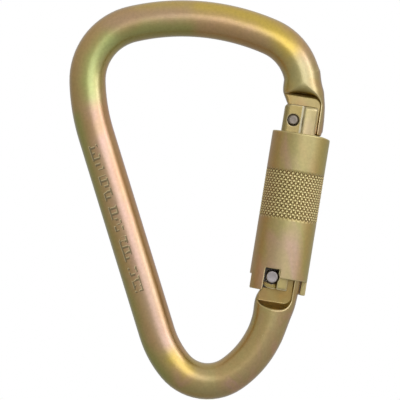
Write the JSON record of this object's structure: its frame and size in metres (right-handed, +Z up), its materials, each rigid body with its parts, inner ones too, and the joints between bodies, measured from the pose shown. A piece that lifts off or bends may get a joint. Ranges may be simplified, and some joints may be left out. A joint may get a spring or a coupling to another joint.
{
  "type": "locking carabiner",
  "caption": "Large pear-shaped steel carabiner with a hinged gate and a knurled lift-and-twist locking sleeve, zinc plated with a yellow iridescent finish.",
  "frame": {"origin": "inside of the wide end at its highest point, where the carabiner hangs on a round bar, on the middle plane", "axes": "+X from the spine to the gate, +Y from the front (the side with the sleeve's notch that shows the hinge rivet) to the back, +Z up from the narrow end to the wide end"},
  "size_m": [0.086, 0.0198, 0.132],
  "materials": {
    "plated_steel": "satin, yellow iridescent chromate over zinc",
    "plated_steel_gate": "satin, pale yellow chromate over zinc",
    "plated_steel_sleeve": "satin, yellow chromate over zinc, diamond-knurled band",
    "plain_steel": "plain satin",
    "spring_steel": "drawn wire and strip"
  },
  "bodies": {
    "frame": {"frame": "plated_steel"},
    "gate": {"gate": "plated_steel_gate", "hinge_rivet": "plain_steel", "latch_pin": "plain_steel", "guide_pin_outer": "plain_steel", "guide_pin_inner": "plain_steel", "sleeve_spring": "spring_steel", "return_spring": "spring_steel"},
    "bush": {"bush_half_front": "plain_steel", "bush_half_back": "plain_steel"},
    "sleeve": {"sleeve": "plated_steel_sleeve", "retaining_ring_lower": "spring_steel", "retaining_ring_upper": "spring_steel"},
    "plunger": {"plunger": "plain_steel"}
  },
  "joints": [
    {"name": "gate_swing", "type": "hinge", "parent": "frame", "child": "gate", "pos_m": [0.02966, 0, -0.07926], "axis": [0, -1, 0], "range_deg": [0, 42], "stiffness_Nm_per_rad": 0.25, "springref_deg": -51.57, "deforming": ["plunger"]},
    {"name": "sleeve_lift", "type": "slide", "parent": "gate", "child": "bush", "axis": [0.1599, 0, 0.9871], "range_m": [0, 0.004], "stiffness_N_per_m": 600, "springref_m": -0.008, "deforming": ["sleeve_spring"]},
    {"name": "sleeve_turn", "type": "hinge", "parent": "bush", "child": "sleeve", "pos_m": [0.03186, 0, -0.07962], "axis": [-0.1599, 0, -0.9871], "range_deg": [0, 90], "stiffness_Nm_per_rad": 0.03, "springref_deg": -45.84},
    {"name": "plunger_slide", "type": "slide", "parent": "gate", "child": "plunger", "axis": [0.1599, 0, 0.9871], "range_m": [0, 0.00095], "stiffness_N_per_m": 1500, "springref_m": -0.004, "deforming": ["return_spring"]}
  ]
}
